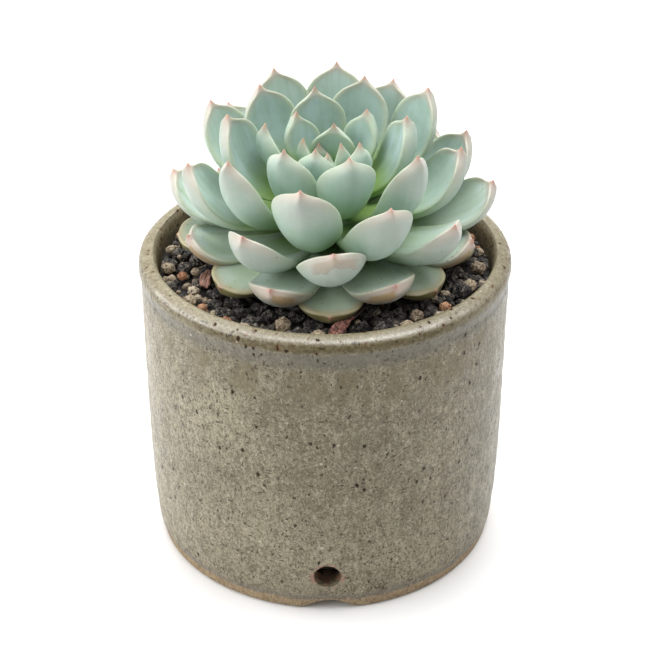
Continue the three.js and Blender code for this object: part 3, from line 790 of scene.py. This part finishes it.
def add_leaf(shapes, whorl, index, ring):
    steps = np.linspace(0, 1, MIDLINE_STEPS)
    fine, _ = midline(whorl, index, steps)
    travel = np.concatenate([[0], np.cumsum(np.hypot(*np.diff(fine, axis=0).T))])
    total, width = travel[-1], whorl["width"]
    distance, half = leaf_outline(total, width / 2, ENDS[ring])
    place, heading = midline(whorl, index, np.interp(distance, travel, steps))
    theta = 2 * np.pi * np.arange(RING_POINTS) / RING_POINTS
    across = -np.cos(theta)[None, :]
    face = np.sin(theta)[None, :]
    up = np.abs(face)
    distance, half = distance[:, None], half[:, None]
    t = distance / total
    seed = 100 * ring + index

    # the upper face is grooved with a raised margin; the lower one bulges and has a keel near the point
    thick = whorl["thick"] * thickness_share(t, PLUMP[ring])
    bulk = np.minimum(thick, 0.3 + (1.1 if ring else 1.6) * half)
    cup = 2 * CUP[ring] * half * smooth(0, 0.6, t) * across**2
    grooves = 0.1 * np.cos(4 * across + 6 * draw(seed * 3)) * (1 - across**2) * smooth(0.1, 0.4, t)
    from_margin = half * (1 - np.abs(across))
    margin = 0.22 * np.exp(-((from_margin - 0.8) / 1.1) ** 2) * np.minimum(1, half / 4) * smooth(0.2, 0.5, t)
    upper = 0.12 * bulk * (1 - across**2) + 0.2 * bulk * up + grooves * np.minimum(1, half / 5)
    upper = upper + margin * np.minimum(1, 2 * up)
    keel = (0.3 if ring > 1 else 0.1) * smooth(0.6, 0.92, t) * np.exp(-(across / 0.28) ** 2)
    lower = bulk * (0.58 * (1 - np.abs(across) ** 2.4) + 0.42 * up) + keel * np.minimum(1, half / 3)
    raised = np.where(face > 0, upper, -lower)
    flat_side = across * half

    # a slight roll, bend and uneven margin make each leaf its own
    roll = math.radians(5) * (draw(seed * 3 + 1) - 0.5)
    twist = math.radians(whorl.get("twist", {}).get(index, 0)) * smooth(0.1, 0.6, t)
    skew = 0.6 * (draw(seed * 3 + 2) - 0.5) * smooth(0.3, 1, t) * np.minimum(1, 0.3 * half)
    offset = cup + raised + roll * flat_side
    side = flat_side + skew * (1 - across**2) * smooth(1, 0.9, t)
    side, offset = spun(side, offset, twist)
    r = place[:, :1] - heading[:, 1:] * offset
    z = place[:, 1:] + heading[:, :1] * offset
    azimuth = whorl["at"][index]
    outward, sideways, upward = polar(azimuth, 1, 0), polar(azimuth + 90, 1, 0), np.array([0, 0, 1])
    points = r[..., None] * outward + side[..., None] * sideways + z[..., None] * upward
    ends = np.stack([place[0], fine[-1]])
    points = np.concatenate([points.reshape(-1, 3), ends[:, :1] * outward + ends[:, 1:] * upward])

    def per_point(values, at_root, at_tip):
        return np.concatenate([np.broadcast_to(values, r.shape).ravel(), [at_root, at_tip]])

    points = lean(points)
    points[:, 2] += 0.22 * per_point(smooth(0.97, 0.85, t), 0, 0) * wobble(points, 9, seed % 17)

    side_line = np.concatenate([half, distance], 1)
    outline = np.concatenate([side_line, [(0, total)], side_line[::-1] * (-1, 1)])
    flat = np.stack([flat_side, np.broadcast_to(distance, r.shape)], -1)
    rim = np.hypot(distance_to_line(flat.reshape(-1, 2), outline).reshape(r.shape), raised * up)
    low, high = whorl.get("scuffed", {}).get(index, UNSCUFFED)
    scuff = np.minimum(flat_side - low * width / 2, high * width / 2 - flat_side)
    layer = np.full(r.size + 2, LEAF_LAYER * seed)
    shapes.add(
        points, shell_faces(len(distance), RING_POINTS, flip=True),
        along=per_point(t, 0, 1),
        edge=per_point(np.abs(across), 0, 0),
        under=per_point(smooth(0.12, -0.12, face), 0.5, 0.5),
        rim=per_point(rim, 3, 0),
        end=per_point(np.sqrt((total - distance) ** 2 + flat_side**2 + raised**2), total, 0),
        leaf=MM * np.stack([per_point(flat_side, 0, 0), per_point(distance, 0, total), layer], 1),
        age=ring / (len(WHORLS) - 1),
        tone=draw(seed * 3 + 7),
        scuff=per_point(scuff, -9, -9),
    )


def make_rosette(material):
    shapes = Shapes()
    for ring, whorl in enumerate(WHORLS):
        for index in range(len(whorl["at"])):
            add_leaf(shapes, whorl, index, ring)
    plain = dict(along=0, edge=0, under=0, rim=5, end=40, age=0.2, tone=0.5, scuff=-9)
    for profile, placed in ((STEM, lambda p: p + (AXIS_X, 0, 0)), (CORE, lean)):
        points, faces = turned(profile, STEM_SIDES)
        shapes.add(placed(points), faces, leaf=points * MM, **plain)
    rosette = shapes.build("rosette_fine", material)
    return rosette, BVHTree.FromPolygons(shapes.all_points().tolist(), shapes.faces)


# ---------- stones ----------
def icosphere(level):
    """Directions of a split icosahedron, each one's share in the 12 corners, and the faces.
    The corners come in the order in which the faces first use them."""
    g = (1 + math.sqrt(5)) / 2
    square = [(x, y, 0) for y in (g, -g) for x in (-1, 1)]
    corners = [np.roll(corner, shift) for shift in range(3) for corner in square]
    sides = [(0, 11, 5), (0, 5, 1), (0, 1, 7), (0, 7, 10), (0, 10, 11), (1, 5, 9), (5, 11, 4), (11, 10, 2),
             (10, 7, 6), (7, 1, 8), (3, 9, 4), (3, 4, 2), (3, 2, 6), (3, 6, 8), (3, 8, 9), (4, 9, 5),
             (2, 4, 11), (6, 2, 10), (8, 6, 7), (9, 8, 1)]
    order = list(dict.fromkeys(k for side in sides for k in side))
    points = [corners[k] / np.linalg.norm(corners[k]) for k in order]
    shares = list(np.eye(12))
    faces = [tuple(order.index(k) for k in side) for side in sides]
    for _ in range(level):
        middles = {}

        def middle(a, b):
            key = (min(a, b), max(a, b))
            if key not in middles:
                middles[key] = len(points)
                p = points[a] + points[b]
                points.append(p / np.linalg.norm(p))
                shares.append((shares[a] + shares[b]) / 2)
            return middles[key]

        split = []
        for a, b, c in faces:
            ab, bc, ca = middle(a, b), middle(b, c), middle(c, a)
            split += [(a, ab, ca), (ab, b, bc), (ca, bc, c), (ab, bc, ca)]
        faces = split
    return np.array(points), np.array(shares), faces


SPHERES = [icosphere(level) for level in range(STONE_LEVEL + 1)]


def stone(seed, half_size, flatten, level, roundness, rough, pits=0):
    """A pebble at the origin on the corners that the solid one has, rounded and roughened. Its last value is
    how high each point stands, from 0 in a pit to 1 on a ridge."""
    unit, shares, faces = SPHERES[level]
    push = np.array([half_size * (0.84 + 0.3 * draw(seed * 37 + k)) for k in range(12)])
    faceted = shares @ (SPHERES[0][0] * push[:, None])
    ball = unit * (shares @ push)[:, None]
    points = faceted * (1 - roundness) + ball * roundness
    swell = wobble(points, 0.7 * half_size, seed) + 0.6 * wobble(points, 0.3 * half_size, seed + 3)
    crumb = np.abs(wobble(points, 0.2 * half_size, seed + 5)) if level > 2 else 0
    raised = rough * (swell + 0.9 * crumb - 0.2)
    if pits:
        shift = Vector((seed, seed * 2, seed * 3))
        for size, depth in ((0.36, pits), (0.2, 0.6 * pits)):
            reach = np.array([noise.voronoi(Vector(p) / (size * half_size) + shift)[0][0] for p in points])
            raised = raised - depth * smooth(0.5, 0.12, reach)
    points = (points + unit * (half_size * raised)[:, None]) * (1, 1, flatten)
    x, y = spun(points[:, 0], points[:, 1], 2 * math.pi * draw(seed * 53 + 5))
    y, z = spun(y, points[:, 2], 0.7 * (draw(seed * 59 + 7) - 0.5))
    return np.stack([x, y, z], 1), faces, smooth(-0.16, 0.14, raised)


def add_stone(shapes, stone_parts, spot, tone):
    points, faces, ridge = stone_parts
    shapes.add(points + spot, faces, tone=tone, ridge=ridge)


def make_pebbles(entries, names, first_seed, height, material):
    """One refined pebble for each packed one. Returns where they lie."""
    taken = []
    for i, (azimuth, radius, half_size) in enumerate(entries):
        parts = stone(first_seed + i, 0.94 * half_size, PEBBLE_FLATTEN, STONE_LEVEL, 0.35, 0.1, pits=0.1)
        spot = polar(azimuth, radius, height)
        taken.append((spot, half_size))
        shapes = Shapes()
        add_stone(shapes, parts, spot, draw(first_seed * 3 + i))
        node = names.format(i + 1)
        pebble = shapes.build(node + "_fine", material)
        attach(pebble, "root")
        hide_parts(node)
    return taken


# ---------- potting mix ----------
def scatter(grit, i, chance):
    """Radius at which grain i of an even spread lies, and its half size by chance."""
    share = (i + 0.5) / grit["count"]
    radius = math.sqrt(grit["inner"] ** 2 + (grit["outer"] ** 2 - grit["inner"] ** 2) * share)
    return radius, grit["small"] + (grit["large"] - grit["small"]) * chance


def crowded(spot, taken, share, own):
    """Whether a spot lies nearer to a pebble than a share of that pebble's half size and its own."""
    return any(np.hypot(*(p[:2] - spot[:2])) < share * h + own for p, h in taken)


def add_plug(shapes):
    """The mix down to the floor of the pot, with a rough top round the stem's hole."""
    wall = BORE_RADIUS - GAP - 0.15
    hole = STEM_RADIUS + GAP
    profile = [(0, STEM_FOOT), (hole, STEM_FOOT), (hole, SOIL_TOP - 4)]
    profile += [(radius, SOIL_TOP) for radius in np.linspace(hole, wall, PLUG_RINGS)]
    profile += [(wall, FLOOR_TOP + 5.4), (wall - 1.6, FLOOR_TOP + 1.9)]
    profile += [(wall - 5.2, FLOOR_TOP + GAP), (0, FLOOR_TOP + GAP)]
    points, faces = turned(profile, PLUG_SIDES, flip=True)
    points[:-1, 0] += AXIS_X * (1 - smooth(hole, wall, np.hypot(*points[:-1, :2].T)))
    rough = 0.7 * wobble(points, 6, 21)
    rough = rough + 0.5 * np.abs(wobble(points, 1.7, 22)) + 0.4 * np.abs(wobble(points, 0.9, 23))
    points[:, 2] += np.where(points[:, 2] == SOIL_TOP, rough - 0.9, 0)
    # painted shade: a ridge of 0.3 darkens the mix's top between the grains with some of the pit colour
    shapes.add(points, faces, tone=0, ridge=0.3)


def seat_under_leaves(points, leaves):
    """Points that a leaf would take in are pressed down to just under it."""
    for p in points:
        if p[2] < STEM_FOOT + 5:
            continue
        hit, normal, _, _ = leaves.ray_cast(Vector(p), UP)
        if hit is not None and normal.z > 0:
            below, _, _, _ = leaves.ray_cast(Vector(p), -UP)
            if below is not None:
                p[2] = below.z - GAP


def make_mix(taken, leaves, material, pale, orange):
    mix, light, warm = Shapes(), Shapes(), Shapes()
    add_plug(mix)
    for i in range(GRIT["count"]):
        radius, half_size = scatter(GRIT, i, draw(i + 11))
        spot = polar(i * TURN, min(radius, BORE_RADIUS - GAP - 1.16 * half_size), SOIL_TOP)
        spot[2] += (0.25 + 0.5 * smooth(42, 46, radius)) * half_size * draw(i + 301)
        if not crowded(spot, taken, 0.55, 0.55 * half_size):
            grain = stone(i + 500, half_size, GRIT["flatten"], STONE_LEVEL, 0.1, 0.17, pits=0.18)
            browner = 0.5 if spot[0] < -PALE_FROM else 0.1
            add_stone(mix, grain, spot, browner + 0.5 * draw(i + 700))
    for points in mix.points:
        seat_under_leaves(points, leaves)
    ground = BVHTree.FromPolygons(mix.all_points().tolist(), mix.faces)

    # finer grains lie on and between the large ones
    for i in range(FINE_GRIT["count"]):
        radius, half_size = scatter(FINE_GRIT, i, draw(i + 2001) ** 2)
        radius = min(radius, BORE_RADIUS - GAP - 1.2 * half_size)
        spot = polar(i * TURN + 40 * (draw(i + 3001) - 0.5), radius, SOIL_TOP + 14)
        hit, _, _, _ = ground.ray_cast(Vector(spot), -UP)
        if hit is None or crowded(spot, taken, 1, 0.3 * half_size):
            continue
        if hit.z > SOIL_TOP + 0.9 and draw(i + 6001) > 0.15:
            continue
        spot[2] = hit.z + 0.35 * half_size
        roof, _, _, distance = leaves.ray_cast(Vector(spot) - 0.6 * UP, UP)
        nearest = leaves.find_nearest(Vector(spot), 1.3 * half_size)[0]
        if nearest is not None or (roof is not None and distance < 1.5 * half_size + 0.6):
            continue
        level = 1 if half_size < 0.75 else 2 if half_size < 1.2 else 3
        kind, tone = draw(i + 4001), draw(i + 4501)
        paler = 0.16
        if half_size > 0.8 and abs(spot[0]) > PALE_FROM:
            paler = 0.28 if spot[0] > 0 else 0.6
        shapes = light if kind < paler else warm if kind > 0.96 and half_size < 1.1 else mix
        grain = stone(i + 5000, half_size, FINE_GRIT["flatten"], level, 0.4, 0.14)
        add_stone(shapes, grain, spot, 0.1 + 0.95 * tone if shapes is mix else tone)
    mix = mix.build("potting_mix_fine", material)
    return mix, light.build("pale_grit", pale), warm.build("orange_grit", orange)


# ---------- dried leaf scraps ----------
def make_scrap(name, scrap, material):
    """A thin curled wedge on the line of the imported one, crumpled, drawn out into a narrow rising stalk."""
    far = 1 + scrap["stalk"] / scrap["length"]
    t = np.repeat(np.linspace(0, far, SCRAP_ROWS), SCRAP_COLUMNS)
    across = np.tile(np.linspace(-1, 1, SCRAP_COLUMNS), SCRAP_ROWS)
    wedge = np.sin(np.pi * np.minimum(1, t + 0.1) ** 0.7) ** 0.8
    half = np.maximum(0.5 * scrap["width"] * wedge, 0.3 if scrap["stalk"] else 0.8)
    curl = 0.2 * half * across**2 + 0.9 * np.sin(np.pi * np.minimum(1, t)) + scrap["climb"] * t**2
    fold = 0.3 * np.sin(11 * t + 3 * across) + 0.22 * np.cos(12 * across + 7 * t)
    bend = 0.8 * np.sin(2.2 * t)
    x, y = spun((t - 0.5) * scrap["length"], across * half + bend, math.radians(scrap["turn"]))
    spot = polar(scrap["azimuth"], scrap["radius"], scrap["height"]) + (*scrap["nudge"], 0)
    top = np.stack([x, y, curl + fold * np.minimum(1, half)], 1) + spot

    grid = np.arange(len(top)).reshape(SCRAP_ROWS, SCRAP_COLUMNS)
    faces = []
    for a in grid[:-1, :-1].ravel().tolist():
        b = a + len(top)
        faces.append((a, a + SCRAP_COLUMNS, a + SCRAP_COLUMNS + 1, a + 1))
        faces.append((b, b + 1, b + SCRAP_COLUMNS + 1, b + SCRAP_COLUMNS))
    border = np.concatenate([grid[:, 0], grid[-1, 1:], grid[-2::-1, -1], grid[0, -2:0:-1]]).tolist()
    for a, b in zip(border, border[1:] + border[:1]):
        faces.append((b, a, a + len(top), b + len(top)))
    shapes = Shapes()
    points = np.concatenate([top, top - (0, 0, SCRAP_THICKNESS)])
    shapes.add(points, faces, along=np.tile(t, 2), edge=np.tile(np.abs(across), 2))
    scrap_piece = shapes.build(name + "_fine", material)
    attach(scrap_piece, "root")
    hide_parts(name)


# ---------- camera, floor and light, in metres ----------
CAMERA_AIM = Vector((0, 0, 0.0686))
CAMERA_DISTANCE = 0.5208
CAMERA_ELEVATION = math.radians(31)
CAMERA_LENS = 93.05
WORLD_STRENGTH = 0.34
FLOOR_WHITE = (0.89, 0.91)
FLOOR_REACH = 3

# each light's place, its size and its watts
LIGHTS = {
    "top_light": ((0.06, 0.1, 0.85), (1.05, 0.8), 10),
    "rim_light": ((0, 0.46, 0.66), (0.7, 0.4), 3.6),
    "left_light": ((-0.62, 0.08, 0.3), (0.5, 0.5), 2.3),
    "front_light": ((-0.76, -0.34, 0.46), (0.6, 0.6), 3.8),
    "right_light": ((0.55, -0.1, 0.5), (0.5, 0.5), 0.75),
}


def put(name, data, place, rotation):
    thing = bpy.data.objects.new(name, data)
    thing.location = place
    thing.rotation_euler = rotation
    bpy.context.scene.collection.objects.link(thing)
    return thing


def add_camera():
    data = bpy.data.cameras.new("camera")
    data.lens = CAMERA_LENS
    data.sensor_width = 36
    data.clip_start = 0.01
    back = Vector((0, -math.cos(CAMERA_ELEVATION), math.sin(CAMERA_ELEVATION)))
    place = CAMERA_AIM + CAMERA_DISTANCE * back
    bpy.context.scene.camera = put("camera", data, place, (math.pi / 2 - CAMERA_ELEVATION, 0, 0))


def add_area(name, place, size, watts):
    """A rectangular soft light that faces the plant."""
    data = bpy.data.lights.new(name, "AREA")
    data.shape = "RECTANGLE"
    data.size, data.size_y = size
    data.energy = watts
    put(name, data, place, (CAMERA_AIM - Vector(place)).to_track_quat("-Z", "Y").to_euler())


def add_studio():
    scene = bpy.context.scene
    scene.view_settings.view_transform = "Standard"
    scene.world = bpy.data.worlds.new("studio")
    scene.world.use_nodes = True
    background = scene.world.node_tree.nodes["Background"]
    background.inputs["Color"].default_value = (1, 1, 1, 1)
    background.inputs["Strength"].default_value = WORLD_STRENGTH
    for name, (place, size, watts) in LIGHTS.items():
        add_area(name, place, size, watts)

    g = Graph("floor_white")
    g.finish(g.mix(g.noise(60, detail=2), *([level] * 3 + [1] for level in FLOOR_WHITE)), 0.9)
    reach = FLOOR_REACH / MM
    corners = [(x * reach, y * reach, 0) for x, y in ((-1, -1), (1, -1), (1, 1), (-1, 1))]
    floor = mesh_object("floor", corners, [(0, 1, 2, 3)], g.material)


# ---------- the object ----------
def dress():
    pot = make_pot(glaze_material())
    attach(pot, "root")
    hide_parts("pot")

    rosette, leaves = make_rosette(leaf_material())
    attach(rosette, "root")
    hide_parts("rosette")

    lava = stone_material("lava_grit", (42, 39, 37), (70, 66, 63), (154, 145, 134), (8, 6, 6), 0.6, 0.9, 0.6)
    pumice = stone_material(
        "pumice", (136, 118, 98), (184, 166, 140), (216, 202, 180), (78, 64, 50), 0.7, 0.3, 0.9)
    terracotta = stone_material(
        "terracotta", (140, 94, 70), (184, 130, 96), (214, 172, 138), (84, 50, 36), 0.6, 0.2, 0.85)
    taken = make_pebbles(PUMICE, "pumice_{:02d}", 900, SOIL_TOP + 1.3, pumice)
    taken += make_pebbles(
        TERRACOTTA, "terracotta_chip_{}", 950, SOIL_TOP + 1.4, terracotta)
    mix, light, warm = make_mix(taken, leaves, lava, pumice, terracotta)
    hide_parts("potting_mix")
    for piece, slot in ((mix, "mix"), (light, "pumice"), (warm, "terracotta")):
        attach(piece, "root")
    brown = dried_material("dried_brown", (84, 48, 40), (168, 112, 98), 1)
    pinkish = dried_material("dried_pink", (196, 140, 122), (232, 190, 174), 0.3)
    for (name, scrap), paper in zip(SCRAPS.items(), (brown, pinkish)):
        make_scrap(name, scrap, paper)


add_camera()
add_studio()
dress()
